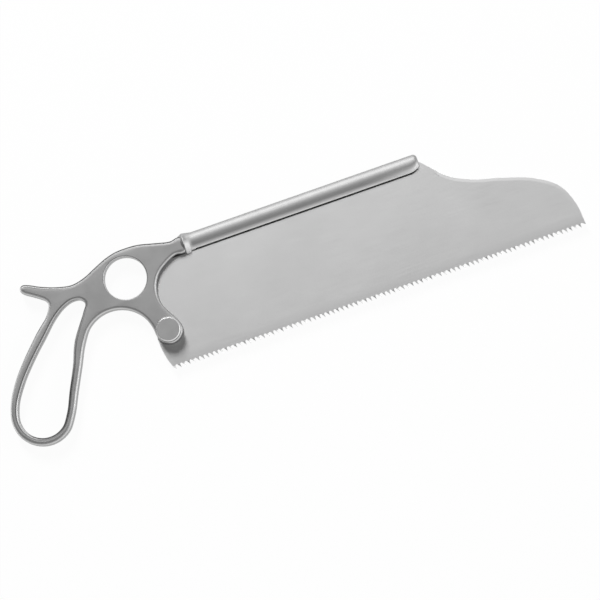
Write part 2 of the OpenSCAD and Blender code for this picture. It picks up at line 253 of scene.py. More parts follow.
def blendNode(tree, factor, dark, light):
    node = tree.nodes.new("ShaderNodeMix")
    node.data_type = "RGBA"
    for socket, value in ((node.inputs["Factor"], factor), (node.inputs["A"], dark), (node.inputs["B"], light)):
        if isinstance(value, tuple):
            socket.default_value = (*value, 1)
        else:
            tree.links.new(value, socket)
    return node.outputs["Result"]


# shared surface effects
def newGroup(name, inputs, outputs):
    group = bpy.data.node_groups.new(name, "ShaderNodeTree")
    for label in inputs:
        group.interface.new_socket(name=label, in_out="INPUT", socket_type="NodeSocketFloat")
    for label in outputs:
        group.interface.new_socket(name=label, in_out="OUTPUT", socket_type="NodeSocketFloat")
    return group, group.nodes.new("NodeGroupInput"), group.nodes.new("NodeGroupOutput")


def placeGroup(tree, group, **values):
    node = tree.nodes.new("ShaderNodeGroup")
    node.node_tree = group
    for label, value in values.items():
        node.inputs[label.replace("_", " ")].default_value = value
    return node.outputs


grainLook = {"cloudDetail": 3.0, "cloudRough": 0.55, "pitDetail": 2.0, "pitRough": 0.6}


# blasted satin grain: soft cloudy shade and a fine pitted height
def makeSatinGrain(look):
    group, given, out = newGroup("satinGrain", ("Cloud Scale", "Pit Scale"), ("Cloud", "Pits"))
    place = group.nodes.new("ShaderNodeTexCoord").outputs["Object"]
    cloud = noiseNode(group, place, given.outputs["Cloud Scale"], look["cloudDetail"], look["cloudRough"])
    pits = noiseNode(group, place, given.outputs["Pit Scale"], look["pitDetail"], look["pitRough"])
    group.links.new(cloud, out.inputs["Cloud"])
    group.links.new(pits, out.inputs["Pits"])
    return group


lineLook = {"detail": 3.0, "rough": 0.6}


# grinding lines along X, and how they break up
def makeGrindLines(look):
    group, given, out = newGroup("grindLines", ("Line Scale", "Stretch"), ("Lines",))
    place = group.nodes.new("ShaderNodeTexCoord").outputs["Object"]
    squeeze = group.nodes.new("ShaderNodeCombineXYZ")
    group.links.new(given.outputs["Stretch"], squeeze.inputs["X"])
    squeeze.inputs["Y"].default_value = 1
    squeeze.inputs["Z"].default_value = 1
    stretched = group.nodes.new("ShaderNodeVectorMath")
    stretched.operation = "MULTIPLY"
    group.links.new(place, stretched.inputs[0])
    group.links.new(squeeze.outputs[0], stretched.inputs[1])
    lines = noiseNode(group, stretched.outputs[0], given.outputs["Line Scale"], look["detail"], look["rough"])
    group.links.new(lines, out.inputs["Lines"])
    return group


# how far a surface has turned from the saw's flat sides: 0 on them, 1 on a wall
def turnedNode(group):
    return restNode(group, mathNode(group, "ABSOLUTE", coordParts(group, "Normal")["Z"]))


def smoothRamp(group, value, start, end, low=0, high=1):
    ramp = group.nodes.new("ShaderNodeMapRange")
    ramp.interpolation_type = "SMOOTHSTEP"
    ramp.inputs["To Min"].default_value = low
    ramp.inputs["To Max"].default_value = high
    for source, label in ((value, "Value"), (start, "From Min"), (end, "From Max")):
        group.links.new(source, ramp.inputs[label])
    return ramp.outputs["Result"]


# rounded edges and walls, coming in from one turn to another
def makeTurnedEdge():
    group, given, out = newGroup("turnedEdge", ("Start", "End"), ("Edge",))
    edge = smoothRamp(group, turnedNode(group), given.outputs["Start"], given.outputs["End"])
    group.links.new(edge, out.inputs["Edge"])
    return group


# the dull line where a flat side rolls over into a rounded edge
def makeEdgeWear():
    group, given, out = newGroup("edgeWear", ("Start", "Full", "Fade", "End"), ("Wear",))
    turned = turnedNode(group)
    into = smoothRamp(group, turned, given.outputs["Start"], given.outputs["Full"])
    away = smoothRamp(group, turned, given.outputs["Fade"], given.outputs["End"], 1, 0)
    group.links.new(productNode(group, into, away), out.inputs["Wear"])
    return group


satinGrain = makeSatinGrain(grainLook)
edgeWear = makeEdgeWear()
grindLines = makeGrindLines(lineLook)
turnedEdge = makeTurnedEdge()


def newSteel(name):
    finish = bpy.data.materials.new(name)
    finish.use_nodes = True
    tree = finish.node_tree
    shader = tree.nodes["Principled BSDF"]
    shader.inputs["Metallic"].default_value = 1.0
    return finish, tree, shader


def cloudyNode(tree, cloud, f):
    return blendNode(tree, rangeNode(tree, cloud, 0, 1, f["cloudFrom"], f["cloudTo"]), f["dark"], f["light"])


def bumpInto(tree, shader, height, f):
    bump = tree.nodes.new("ShaderNodeBump")
    bump.inputs["Strength"].default_value = f["bumpShare"]
    bump.inputs["Distance"].default_value = f["bumpDeep"] * mm
    tree.links.new(height, bump.inputs["Height"])
    tree.links.new(bump.outputs["Normal"], shader.inputs["Normal"])


def groundInto(tree, shader, lines, f):  # grinding lines show in the gloss and in the height
    rough = rangeNode(tree, lines, f["rough"] - f["roughSpread"], f["rough"] + f["roughSpread"])
    tree.links.new(rough, shader.inputs["Roughness"])
    bumpInto(tree, shader, lines, f)


handleFinish = {
    "dark": (0.385, 0.385, 0.385), "light": (0.425, 0.425, 0.425), "edge": (0.62, 0.62, 0.62),
    "wall": (0.24, 0.24, 0.24), "edgeLineTone": (0.36, 0.36, 0.36), "paintedLoopShade": (0.21, 0.21, 0.21),
    "above": (0.1, 0.1, 0.1), "paintedHollowShade": (0.15, 0.15, 0.15), "paintedHighlight": (0.82, 0.82, 0.82),
    "cloudScale": 70.0, "pitScale": 2600.0, "cloudFrom": 0.35, "cloudTo": 0.65,
    "edgeFrom": 0.01, "edgeTo": 0.2, "wallFrom": 0.35, "wallTo": 0.75, "keenFrom": 0.12, "keenTo": 0.32,
    "wearFrom": 0.003, "wearFull": 0.02, "wearFade": 0.06, "wearTo": 0.16,
    "loopFrom": -26.0, "loopFull": -40.0, "loopTop": (-35.0, -8.0), "loopEnd": (-69.0, -56.0),
    "lineFrom": -0.15, "lineFull": 0.1, "hollowFrom": 0.1, "hollowFull": 0.4, "hollowHigh": -34.0, "hollowLow": -48.0,
    "aboveFrom": 0.4, "aboveFull": 0.65, "shoulder": 0.3, "underFrom": -0.15, "underFull": -0.4,
    "rimFull": 14.0, "rimFrom": 15.0, "faceRough": 0.56, "wornRough": 0.66, "edgeRough": 0.3, "roughSpread": 0.04,
    "bumpDeep": 0.03, "bumpShare": 0.35}


# how far a surface faces the middle line of the finger loop: 1 inside the loop, -1 outside it
def makeLoopInside(f):
    group, _, out = newGroup("loopInside", (), ("Inside",))
    place = coordParts(group, "Object")
    (topX, topY), (endX, endY) = f["loopTop"], f["loopEnd"]
    slope = (topX - endX) / (topY - endY)
    height = mathNode(group, "MAXIMUM", place["Y"], endY * mm)
    middle = mathNode(group, "ADD", productNode(group, height, slope), (topX - topY * slope) * mm)
    inward = group.nodes.new("ShaderNodeCombineXYZ")
    group.links.new(mathNode(group, "SUBTRACT", middle, place["X"]), inward.inputs["X"])
    group.links.new(mathNode(group, "SUBTRACT", height, place["Y"]), inward.inputs["Y"])
    straight = group.nodes.new("ShaderNodeVectorMath")
    straight.operation = "NORMALIZE"
    group.links.new(inward.outputs[0], straight.inputs[0])
    facing = group.nodes.new("ShaderNodeVectorMath")
    facing.operation = "DOT_PRODUCT"
    group.links.new(straight.outputs["Vector"], facing.inputs[0])
    group.links.new(group.nodes.new("ShaderNodeTexCoord").outputs["Normal"], facing.inputs[1])
    group.links.new(facing.outputs["Value"], out.inputs["Inside"])
    return group


def makeHandleSteel(f):
    finish, tree, shader = newSteel("satinHandleSteel")
    place, normal = coordParts(tree, "Object"), coordParts(tree, "Normal")
    grain = placeGroup(tree, satinGrain, Cloud_Scale=f["cloudScale"], Pit_Scale=f["pitScale"])
    edge = placeGroup(tree, turnedEdge, Start=f["edgeFrom"], End=f["edgeTo"])
    wall = placeGroup(tree, turnedEdge, Start=f["wallFrom"], End=f["wallTo"])
    keen = placeGroup(tree, turnedEdge, Start=f["keenFrom"], End=f["keenTo"])
    wear = placeGroup(tree, edgeWear, Start=f["wearFrom"], Full=f["wearFull"], Fade=f["wearFade"], End=f["wearTo"])
    inside = placeGroup(tree, makeLoopInside(f))
    # the loop with the horn, and the rim of the finger hole
    loop = rangeNode(tree, place["X"], 0, 1, f["loopFrom"] * mm, f["loopFull"] * mm)
    across = productNode(tree, place["X"], place["X"])
    along = productNode(tree, place["Y"], place["Y"])
    radius = mathNode(tree, "SQRT", mathNode(tree, "ADD", across, along))
    rim = rangeNode(tree, radius, 1, 0, f["rimFull"] * mm, f["rimFrom"] * mm)
    # their edges carry a painted highlight, but not where they face down
    under = rangeNode(tree, normal["Y"], 1, 0, f["underFrom"], f["underFull"])
    highlightMask = mathNode(tree, "MAXIMUM", productNode(tree, loop, under), rim)
    # rounded edges take the lighter edge colour, a painted sheen; their polish is in the roughness
    rounded = blendNode(tree, highlightMask, f["edge"], f["paintedHighlight"])
    rolled = blendNode(tree, edge["Edge"], cloudyNode(tree, grain["Cloud"], f), rounded)
    # steep walls are darker: painted shade
    steep = blendNode(tree, wall["Edge"], rolled, f["wall"])
    # painted shade darkens the inside of the loop's front bar and end
    inner = rangeNode(tree, inside["Inside"], 0, 1, f["hollowFrom"], f["hollowFull"])
    away = rangeNode(tree, normal["X"], 1, 0, f["hollowFrom"], f["hollowFull"])
    deep = rangeNode(tree, place["Y"], 0, 1, f["hollowHigh"] * mm, f["hollowLow"] * mm)
    paintedHollowShade = blendNode(tree, productNode(tree, inner, away, deep), steep, f["paintedHollowShade"])
    # painted shade also darkens the shoulder that faces up, on the knob's side
    upward = rangeNode(tree, normal["Y"], 0, 1, f["aboveFrom"], f["aboveFull"])
    shoulder = rangeNode(tree, normal["Z"], 0, 1, 0.0, f["shoulder"])
    above = blendNode(tree, productNode(tree, upward, shoulder, restNode(tree, rim)), paintedHollowShade, f["above"])
    # a dull line follows the edges, on the loop only along its inside; on the loop and round the finger hole its
    # colour is painted shade
    facing = rangeNode(tree, inside["Inside"], 0, 1, f["lineFrom"], f["lineFull"])
    outside = productNode(tree, loop, restNode(tree, facing))
    line = productNode(tree, wear["Wear"], restNode(tree, outside))
    edgeLineTone = blendNode(tree, mathNode(tree, "MAXIMUM", loop, rim), f["edgeLineTone"], f["paintedLoopShade"])
    tree.links.new(blendNode(tree, line, above, edgeLineTone), shader.inputs["Base Color"])
    dull = rangeNode(tree, line, f["faceRough"], f["wornRough"])
    polish = rangeNode(tree, keen["Edge"], 0, f["faceRough"] - f["edgeRough"])
    uneven = rangeNode(tree, grain["Cloud"], -f["roughSpread"], f["roughSpread"])
    rough = mathNode(tree, "ADD", mathNode(tree, "SUBTRACT", dull, polish), uneven)
    tree.links.new(rough, shader.inputs["Roughness"])
    bumpInto(tree, shader, grain["Pits"], f)
    return finish


backFinish = {
    "dark": (0.39, 0.39, 0.39), "light": (0.43, 0.43, 0.43), "edge": (0.46, 0.46, 0.46), "lip": (0.92, 0.92, 0.92),
    "paintedCreaseShade": (0.3, 0.3, 0.3), "paintedHighlight": (0.85, 0.85, 0.85),
    "lineScale": 2200.0, "stretch": 0.015, "cloudScale": 90.0, "cloudFrom": 0.3, "cloudTo": 0.7,
    "edgeFrom": 0.15, "edgeTo": 0.5, "lipFrom": -0.35, "lipFull": -0.8, "wideFrom": -0.1, "wideFull": -0.5,
    "bowFrom": 148.0, "bowFull": 180.0, "stepFrom": 36.9, "stepTo": 38.5, "stepFade": 0.2,
    "lowFull": -0.1, "lowFrom": 0.2, "highlightRise": 0.4, "highlightTo": 43.4, "highlightFade": 2.4,
    "rough": 0.62, "roughSpread": 0.04, "bumpDeep": 0.01, "bumpShare": 0.25}


def makeBackSteel(f):
    finish, tree, shader = newSteel("drawnBackSteel")
    place, normal = coordParts(tree, "Object"), coordParts(tree, "Normal")
    lines = placeGroup(tree, grindLines, Line_Scale=f["lineScale"], Stretch=f["stretch"])
    grain = placeGroup(tree, satinGrain, Cloud_Scale=f["cloudScale"])
    edge = placeGroup(tree, turnedEdge, Start=f["edgeFrom"], End=f["edgeTo"])
    # the rounded sides are a little lighter: painted sheen
    rounded = blendNode(tree, edge["Edge"], cloudyNode(tree, grain["Cloud"], f), f["edge"])
    # a painted highlight lies on the lips over the blade, reaching wider towards the nose
    narrow = rangeNode(tree, normal["Y"], 0, 1, f["lipFrom"], f["lipFull"])
    wide = rangeNode(tree, normal["Y"], 0, 1, f["wideFrom"], f["wideFull"])
    bow = rangeNode(tree, place["X"], 0, 1, f["bowFrom"] * mm, f["bowFull"] * mm)
    lip = mathNode(tree, "MAXIMUM", narrow, productNode(tree, wide, bow))
    lipHighlight = blendNode(tree, lip, rounded, f["lip"])
    # painted shade lies on the lower half of the collar's step
    before = rangeNode(tree, place["X"], 0, 1, (f["stepFrom"] - f["stepFade"]) * mm, f["stepFrom"] * mm)
    after = rangeNode(tree, place["X"], 1, 0, f["stepTo"] * mm, (f["stepTo"] + f["stepFade"]) * mm)
    low = rangeNode(tree, normal["Y"], 1, 0, f["lowFull"], f["lowFrom"])
    paintedCreaseShade = productNode(tree, before, after, low)
    # and a painted highlight lies on the collar below, next to that painted shade
    past = rangeNode(tree, place["X"], 0, 1, f["stepTo"] * mm, (f["stepTo"] + f["highlightRise"]) * mm)
    fade = rangeNode(tree, place["X"], 1, 0, (f["highlightTo"] - f["highlightFade"]) * mm, f["highlightTo"] * mm)
    bright = blendNode(tree, productNode(tree, fade, past, low), lipHighlight, f["paintedHighlight"])
    tree.links.new(blendNode(tree, paintedCreaseShade, bright, f["paintedCreaseShade"]), shader.inputs["Base Color"])
    groundInto(tree, shader, lines["Lines"], f)
    return finish


bladeFinish = {
    "dark": (0.76, 0.76, 0.76), "light": (0.80, 0.80, 0.80), "edge": (0.88, 0.88, 0.88), "shade": (0.70, 0.70, 0.70),
    "paintedCreaseShade": (0.11, 0.11, 0.108), "lineScale": 1800.0, "stretch": 0.03,
    "cloudScale": 22.0, "cloudFrom": 0.3, "cloudTo": 0.7, "edgeFrom": 0.02, "edgeTo": 0.4,
    "shadeFrom": -51.0, "shadeFull": -57.5, "creaseLow": 2.35, "lowFade": 0.2, "creaseHigh": 3.9, "highFade": 0.5,
    "noseFrom": 176.0, "noseBow": 70.0, "noseTo": 181.5, "noseFade": 1.5, "rough": 0.50, "roughSpread": 0.05,
    "bumpDeep": 0.01, "bumpShare": 0.2}


def makeBladeSteel(f):
    finish, tree, shader = newSteel("groundBladeSteel")
    place = coordParts(tree, "Object")
    lines = placeGroup(tree, grindLines, Line_Scale=f["lineScale"], Stretch=f["stretch"])
    grain = placeGroup(tree, satinGrain, Cloud_Scale=f["cloudScale"])
    edge = placeGroup(tree, turnedEdge, Start=f["edgeFrom"], End=f["edgeTo"])
    # the sheet is darker towards the teeth
    nearTeeth = rangeNode(tree, place["Y"], 0, 1, f["shadeFrom"] * mm, f["shadeFull"] * mm)
    sheet = blendNode(tree, nearTeeth, cloudyNode(tree, grain["Cloud"], f), f["shade"])
    # the edges are painted lighter: a painted sheen
    bright = blendNode(tree, edge["Edge"], sheet, f["edge"])
    # painted shadow where the blade enters the back, bowed up at its nose
    past = mathNode(tree, "MAXIMUM", mathNode(tree, "SUBTRACT", place["X"], f["noseFrom"] * mm), 0.0)
    bow = productNode(tree, mathNode(tree, "POWER", past, 2.0), f["noseBow"])
    height = mathNode(tree, "SUBTRACT", place["Y"], bow)
    into = rangeNode(tree, height, 0, 1, (f["creaseLow"] - f["lowFade"]) * mm, (f["creaseLow"] + f["lowFade"]) * mm)
    out = rangeNode(tree, height, 1, 0, f["creaseHigh"] * mm, (f["creaseHigh"] + f["highFade"]) * mm)
    before = rangeNode(tree, place["X"], 1, 0, (f["noseTo"] - f["noseFade"]) * mm, f["noseTo"] * mm)
    paintedCreaseShade = productNode(tree, into, out, before)
    tree.links.new(blendNode(tree, paintedCreaseShade, bright, f["paintedCreaseShade"]), shader.inputs["Base Color"])
    groundInto(tree, shader, lines["Lines"], f)
    return finish


clampFinish = {
    "dark": (0.42, 0.42, 0.42), "light": (0.45, 0.45, 0.45), "ring": (0.85, 0.85, 0.85), "wall": (0.32, 0.32, 0.32),
    "cloudScale": 150.0, "cloudFrom": 0.35, "cloudTo": 0.65,
    "ringFrom": 0.02, "ringTo": 0.1, "wallFrom": 0.3, "wallTo": 0.55, "faceRough": 0.55, "edgeRough": 0.42,
    "markScale": 900.0, "markBend": 1.5, "markDetail": 2.0, "bumpDeep": 0.006, "bumpShare": 0.2}


def makeClampSteel(f):
    finish, tree, shader = newSteel("turnedClampSteel")
    grain = placeGroup(tree, satinGrain, Cloud_Scale=f["cloudScale"])
    edge = placeGroup(tree, turnedEdge, Start=f["ringFrom"], End=f["ringTo"])
    wall = placeGroup(tree, turnedEdge, Start=f["wallFrom"], End=f["wallTo"])
    centre = tree.nodes.new("ShaderNodeMapping")
    centre.inputs["Location"].default_value = (-studPlace[0] * mm, -studPlace[1] * mm, 0)
    tree.links.new(tree.nodes.new("ShaderNodeTexCoord").outputs["Object"], centre.inputs["Vector"])
    marks = tree.nodes.new("ShaderNodeTexWave")  # fine turning marks round the stud
    marks.wave_type = "RINGS"
    marks.rings_direction = "Z"
    marks.inputs["Scale"].default_value = f["markScale"]
    marks.inputs["Distortion"].default_value = f["markBend"]
    marks.inputs["Detail"].default_value = f["markDetail"]
    tree.links.new(centre.outputs[0], marks.inputs["Vector"])
    # the knob's rim is painted lighter, a painted highlight; its polish is in the roughness
    ring = blendNode(tree, edge["Edge"], cloudyNode(tree, grain["Cloud"], f), f["ring"])  # the knob's rim is polished
    # steep walls are darker: painted shade
    tree.links.new(blendNode(tree, wall["Edge"], ring, f["wall"]), shader.inputs["Base Color"])
    tree.links.new(rangeNode(tree, edge["Edge"], f["faceRough"], f["edgeRough"]), shader.inputs["Roughness"])
    bumpInto(tree, shader, marks.outputs["Fac"], f)
    return finish


handleSteel = makeHandleSteel(handleFinish)
backSteel = makeBackSteel(backFinish)
bladeSteel = makeBladeSteel(bladeFinish)
clampSteel = makeClampSteel(clampFinish)
print("steel finishes made")


def dress(piece, finish, slot, body, *nodes):
    piece.data.materials.clear()
    piece.data.materials.append(finish)
    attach(piece, body)
    if nodes:
        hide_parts(*nodes)


handleSizes = {
    "halfThick": 4.0, "edgeRound": 2.1, "roundSteps": 5, "pathSteps": 5, "spacing": 0.2, "flatGap": 0.002,
    "holeRadius": 12.5, "holeEdge": 0.8, "holeSteps": 6, "holeSlack": 0.5,
    "neckEnd": 33.4, "neckReach": 0.05, "neckInto": 4.4,
    "studBore": 2.6, "bushBore": 4.02, "bushTop": -0.6, "over": 1.0,
    "slot": 1.4, "fork": 12.6, "throat": (33.2, -16.4), "ring": 22.4, "roof": 4.8,
    "holeSides": 160, "boreSides": 64, "forkSides": 128, "throatSides": 160, "smooth": 35}


def makeHandlePath(s):
    piece = mergedCopy("handle_frame", "handlePlate")
    pickFaces(piece, lambda c, n: c.z < s["halfThick"] - s["flatGap"])  # only the flat of the knob's side is kept
    bpy.ops.mesh.delete(type="FACE")
    bpy.ops.mesh.select_all(action="SELECT")
    bpy.ops.mesh.region_to_loop()
    bpy.ops.mesh.select_mode(type="EDGE")
    bpy.ops.mesh.select_all(action="INVERT")
    bpy.ops.mesh.delete(type="EDGE")
    bpy.ops.mesh.select_all(action="SELECT")
    bpy.ops.mesh.delete(type="ONLY_FACE")
    pickPoints(piece, lambda p: p.x > s["neckEnd"] - s["neckReach"])  # the neck runs on into the collar
    bpy.ops.transform.translate(value=(s["neckInto"] * mm, 0, 0))
    bpy.ops.mesh.select_all(action="SELECT")
    bpy.ops.mesh.remove_doubles(threshold=s["spacing"] * mm)  # crowded points would kink the path at the horn's tip
    bpy.ops.mesh.select_all(action="SELECT")  # a filled path needs room, so it is drawn a thousand times larger
    bpy.ops.transform.resize(value=(1 / mm, 1 / mm, 1 / mm), center_override=(0, 0, 0))
    bpy.ops.object.mode_set(mode="OBJECT")
    bpy.ops.object.convert(target="CURVE")
    path = bpy.context.active_object.data
    for spline in list(path.splines):  # the finger hole is cut later, with its own edge
        xs = [point.co.x for point in spline.points]
        if max(xs) - min(xs) < 2 * (s["holeRadius"] + s["holeEdge"]) + s["holeSlack"]:
            path.splines.remove(spline)
    return path


def makeHandlePlate(path, s):
    path.dimensions = "2D"
    path.fill_mode = "BOTH"
    bpy.ops.object.mode_set(mode="EDIT")
    bpy.ops.curve.select_all(action="SELECT")
    bpy.ops.curve.spline_type_set(type="BEZIER")
    bpy.ops.curve.handle_type_set(type="AUTOMATIC")
    bpy.ops.object.mode_set(mode="OBJECT")
    path.resolution_u = s["pathSteps"]
    path.extrude = s["halfThick"] - s["edgeRound"]
    path.bevel_depth = s["edgeRound"]
    path.bevel_resolution = s["roundSteps"]
    bpy.ops.object.convert(target="MESH")
    piece = bpy.context.active_object
    piece.name = piece.data.name = "handlePlate"
    bpy.ops.object.mode_set(mode="EDIT")
    bpy.ops.mesh.select_all(action="SELECT")
    bpy.ops.transform.resize(value=(mm, mm, mm), center_override=(0, 0, 0))
    bpy.ops.object.mode_set(mode="OBJECT")
    faceOutwards(piece)
    return piece


def makeHandle(s):
    piece = makeHandlePlate(makeHandlePath(s), s)
    top, edge, hole = s["halfThick"], s["holeEdge"], s["holeRadius"]
    past = top + s["over"]
    angles = [math.radians(90 * i / s["holeSteps"]) for i in range(s["holeSteps"] + 1)]
    rim = [(hole + edge * (1 - math.cos(a)), top - edge + edge * math.sin(a)) for a in angles]
    steps = [(hole + edge, -past)] + [(r, -z) for r, z in reversed(rim)] + rim + [(hole + edge, past)]
    cutAway(piece, turnedPiece("holeCutter", steps, (0, 0), s["holeSides"]))
    bore, bush, half = s["studBore"], s["bushBore"], s["slot"] / 2
    cutAway(piece, turnedPiece("studCutter", [(bore, 0), (bore, past)], studPlace, s["boreSides"]))
    cutAway(piece, turnedPiece("bushCutter", [(bush, -past), (bush, s["bushTop"])], studPlace, s["boreSides"]))
    cutAway(piece, turnedPiece("forkCutter", [(s["fork"], -half), (s["fork"], half)], studPlace, s["forkSides"]))
    ring = turnedPiece("throatCutter", [(s["ring"], -half), (s["ring"], half)], s["throat"], s["throatSides"])
    editAll(ring)
    bpy.ops.mesh.bisect(plane_co=(0, s["roof"] * mm, 0), plane_no=(0, 1, 0), clear_outer=True, use_fill=True)
    bpy.ops.object.mode_set(mode="OBJECT")
    cutAway(piece, ring)
    smoothFaces(piece, s["smooth"])
    dress(piece, handleSteel, "handle_steel", "frame", "handle_frame")


makeHandle(handleSizes)
print("handle made")


backSizes = {
    "axis": 8.1, "from": 44.4, "to": 182.7, "halfHigh": 5.2, "halfThick": 3.5, "noseTop": 2.4, "noseSide": 2.0,
    "noseUnder": 7.0, "underRise": 4.2, "noseSteps": 16, "tang": 2.5, "tangFrom": 19.4,
    "slot": 1.4, "slotBefore": 0.2, "slotPast": 5, "slotDeep": 12, "mouth": 2.6, "mouthDeep": 1.6,
    "sides": 96, "smooth": 40}


# how far a rounded edge has come in, this far before the end
def cameIn(left, long, deep):
    u = max(0.0, 1 - left / long)
    return deep * (1 - math.sqrt(1 - u * u))


def makeBack(s):
    h, t, tang = s["halfHigh"], s["halfThick"], s["tang"]
    slices = [(s["tangFrom"], tang, tang, 0), (s["from"], tang, tang, 0), (s["from"], h, t, 0)]
    for i in range(s["noseSteps"] + 1):  # the nose is short on top and swept up from below
        left = s["noseUnder"] * (1 - math.sin(math.radians(90 * i / s["noseSteps"])))
        top = h - cameIn(left, s["noseTop"], s["noseTop"])
        under = -h + cameIn(left, s["noseUnder"], s["underRise"])
        thick = t - cameIn(left, s["noseSide"], s["noseSide"])
        slices.append((s["to"] - left, (top - under) / 2, thick, (top + under) / 2))
    piece = ovalBar("backBar", slices, s["axis"], s["sides"])
    lip = s["axis"] - h + s["mouthDeep"]  # the slot's mouth is opened a little, so the cheeks stand off the blade
    for roof, wide in ((s["axis"], s["slot"]), (lip, s["mouth"])):
        cutAway(piece, boxCutter((s["from"] - s["slotBefore"], roof - s["slotDeep"], -wide / 2),
                                 (s["to"] + s["slotPast"], roof, wide / 2)))
    smoothFaces(piece, s["smooth"])
    dress(piece, backSteel, "handle_steel", "frame", "back_spine")


makeBack(backSizes)


collarSizes = {
    "axis": 8.1, "from": 33.4, "slot": 1.4, "slotDeep": 20, "over": 1, "roof": 4.8, "sides": 96, "smooth": 12,
    "ramp": ((0, 3.9, 3.0), (3.4, 5.4, 3.95), (5.2, 6.25, 5.0)),  # from inside the neck up to the rim
    "rim": 0.4, "long": 11.0, "endHigh": 5.2, "endThick": 3.5, "fillSteps": 12, "heelFrom": 7.4, "heelTo": 8.3}


def makeCollar(s):
    x = s["from"]
    slices = [(x + along, high, thick, 0) for along, high, thick in s["ramp"]]
    at, high, thick = s["ramp"][-1]
    at += s["rim"]
    slices.append((x + at, high, thick, 0))
    for i in range(1, s["fillSteps"] + 1):
        u = i / s["fillSteps"]
        along = at + (s["long"] - at) * u
        top = high + (s["endHigh"] - high) * u
        heel = min(1.0, max(0.0, (along - s["heelFrom"]) / (s["heelTo"] - s["heelFrom"])))
        under = high + (s["endHigh"] - high) * heel  # the rim's foot stands below the back's lower edge
        side = thick + (s["endThick"] - thick) * (1 - (1 - u) ** 2)
        slices.append((x + along, (top + under) / 2, side, (top - under) / 2))
    piece = ovalBar("collar", slices, s["axis"], s["sides"])
    cutAway(piece, boxCutter((x - s["over"], s["axis"] - s["slotDeep"], -s["slot"] / 2),
                             (x + s["long"] + s["over"], s["roof"], s["slot"] / 2)))
    smoothFaces(piece, s["smooth"])
    dress(piece, backSteel, "handle_steel", "frame", "spine_collar")


makeCollar(collarSizes)
print("back and collar made")


bladeSizes = {
    "tip": -59.7, "tipReach": 0.02, "depth": 2.7, "bendAt": 0.45, "set": 0.34, "file": 0.3, "thin": 0.75,
    "toeFrom": 190.0, "toeLow": -55.0, "toeGap": 0.01, "toeBevel": 1.7, "toeDrop": 0.075, "flatNormal": 0.9,
    "joinAngle": 0.4, "chamfer": 0.08, "chamferSteps": 2, "chamferAngle": 35, "smooth": 30}


def setTeeth(piece, s):
    reach = s["tip"] + s["tipReach"]
    tips = sorted({round(p.co.x / mm, 2) for p in piece.data.vertices if p.co.y / mm < reach})
    print("teeth", len(tips))
    odd = set(tips[::2])
    for side, row in ((1, odd), (-1, set(tips) - odd)):  # each second tooth leans to the other side
        lean = side * s["set"]
        pickPoints(piece, lambda p: p.y < reach and round(p.x, 2) in row)
        bpy.ops.transform.translate(value=(0, 0, lean * mm))
        pickPoints(piece, lambda p: p.y < reach and round(p.x, 2) in row and (p.z - lean) * side < 0)
        bpy.ops.transform.translate(value=(0, s["file"] * mm, side * s["thin"] * mm))


def bevelToe(piece, s):
    editAll(piece)
    bpy.ops.mesh.bisect(plane_co=(s["toeFrom"] * mm, 0, 0), plane_no=(1, 0, 0))
    bpy.ops.mesh.select_all(action="SELECT")
    bpy.ops.mesh.bisect(plane_co=(0, s["toeLow"] * mm, 0), plane_no=(0, 1, 0))
    bpy.ops.object.mode_set(mode="OBJECT")

    def place(p):
        return round(p.x, 3), round(p.y, 3)

    outline = {place(p.co / mm) for p in piece.data.vertices
               if p.co.x / mm > s["toeFrom"] + s["toeGap"] and p.co.y / mm > s["toeLow"] + s["toeGap"]}
    pickFaces(piece, lambda c, n: c.x > s["toeFrom"] and c.y > s["toeLow"] and abs(n.z) > s["flatNormal"])
    bpy.ops.mesh.inset(thickness=s["toeBevel"] * mm, depth=0, use_even_offset=True)
    bpy.ops.mesh.region_to_loop()
    bpy.ops.mesh.mark_sharp()
    for side in (1, -1):  # the toe's edge is ground down to a bright bevel
        pickPoints(piece, lambda p: place(p) in outline and side * p.z > 0)
        bpy.ops.transform.translate(value=(0, 0, -side * s["toeDrop"] * mm))
    bpy.ops.object.mode_set(mode="OBJECT")


def makeBlade(s):
    piece = mergedCopy("saw_blade", "sawBlade")
    editAll(piece)
    bpy.ops.mesh.dissolve_limited(angle_limit=math.radians(s["joinAngle"]))
    bpy.ops.mesh.select_all(action="SELECT")
    root = s["tip"] + s["depth"]
    bpy.ops.mesh.bisect(plane_co=(0, (root - s["bendAt"]) * mm, 0), plane_no=(0, 1, 0))  # where the teeth bend
    bpy.ops.object.mode_set(mode="OBJECT")
    setTeeth(piece, s)
    bevelToe(piece, s)
    softEdges(piece, s["chamfer"], s["chamferSteps"], s["chamferAngle"])
    smoothFaces(piece, s["smooth"])
    dress(piece, bladeSteel, "blade_steel", "blade", "saw_blade")


makeBlade(bladeSizes)
print("blade made")


clampSizes = {
    "knob": 7.25, "knobFrom": 5.0, "knobTo": 9.0, "chamfer": 0.7, "knobBore": 2.52, "boreDeep": 3.15,
    "washer": 6.8, "washerFrom": 4.0, "washerTo": 5.0, "washerBore": 2.6, "over": 1,
    "round": 0.15, "roundSteps": 3, "knobAngle": 25, "washerAngle": 40, "smooth": 40,
    "knobSides": 128, "washerSides": 96, "boreSides": 64}


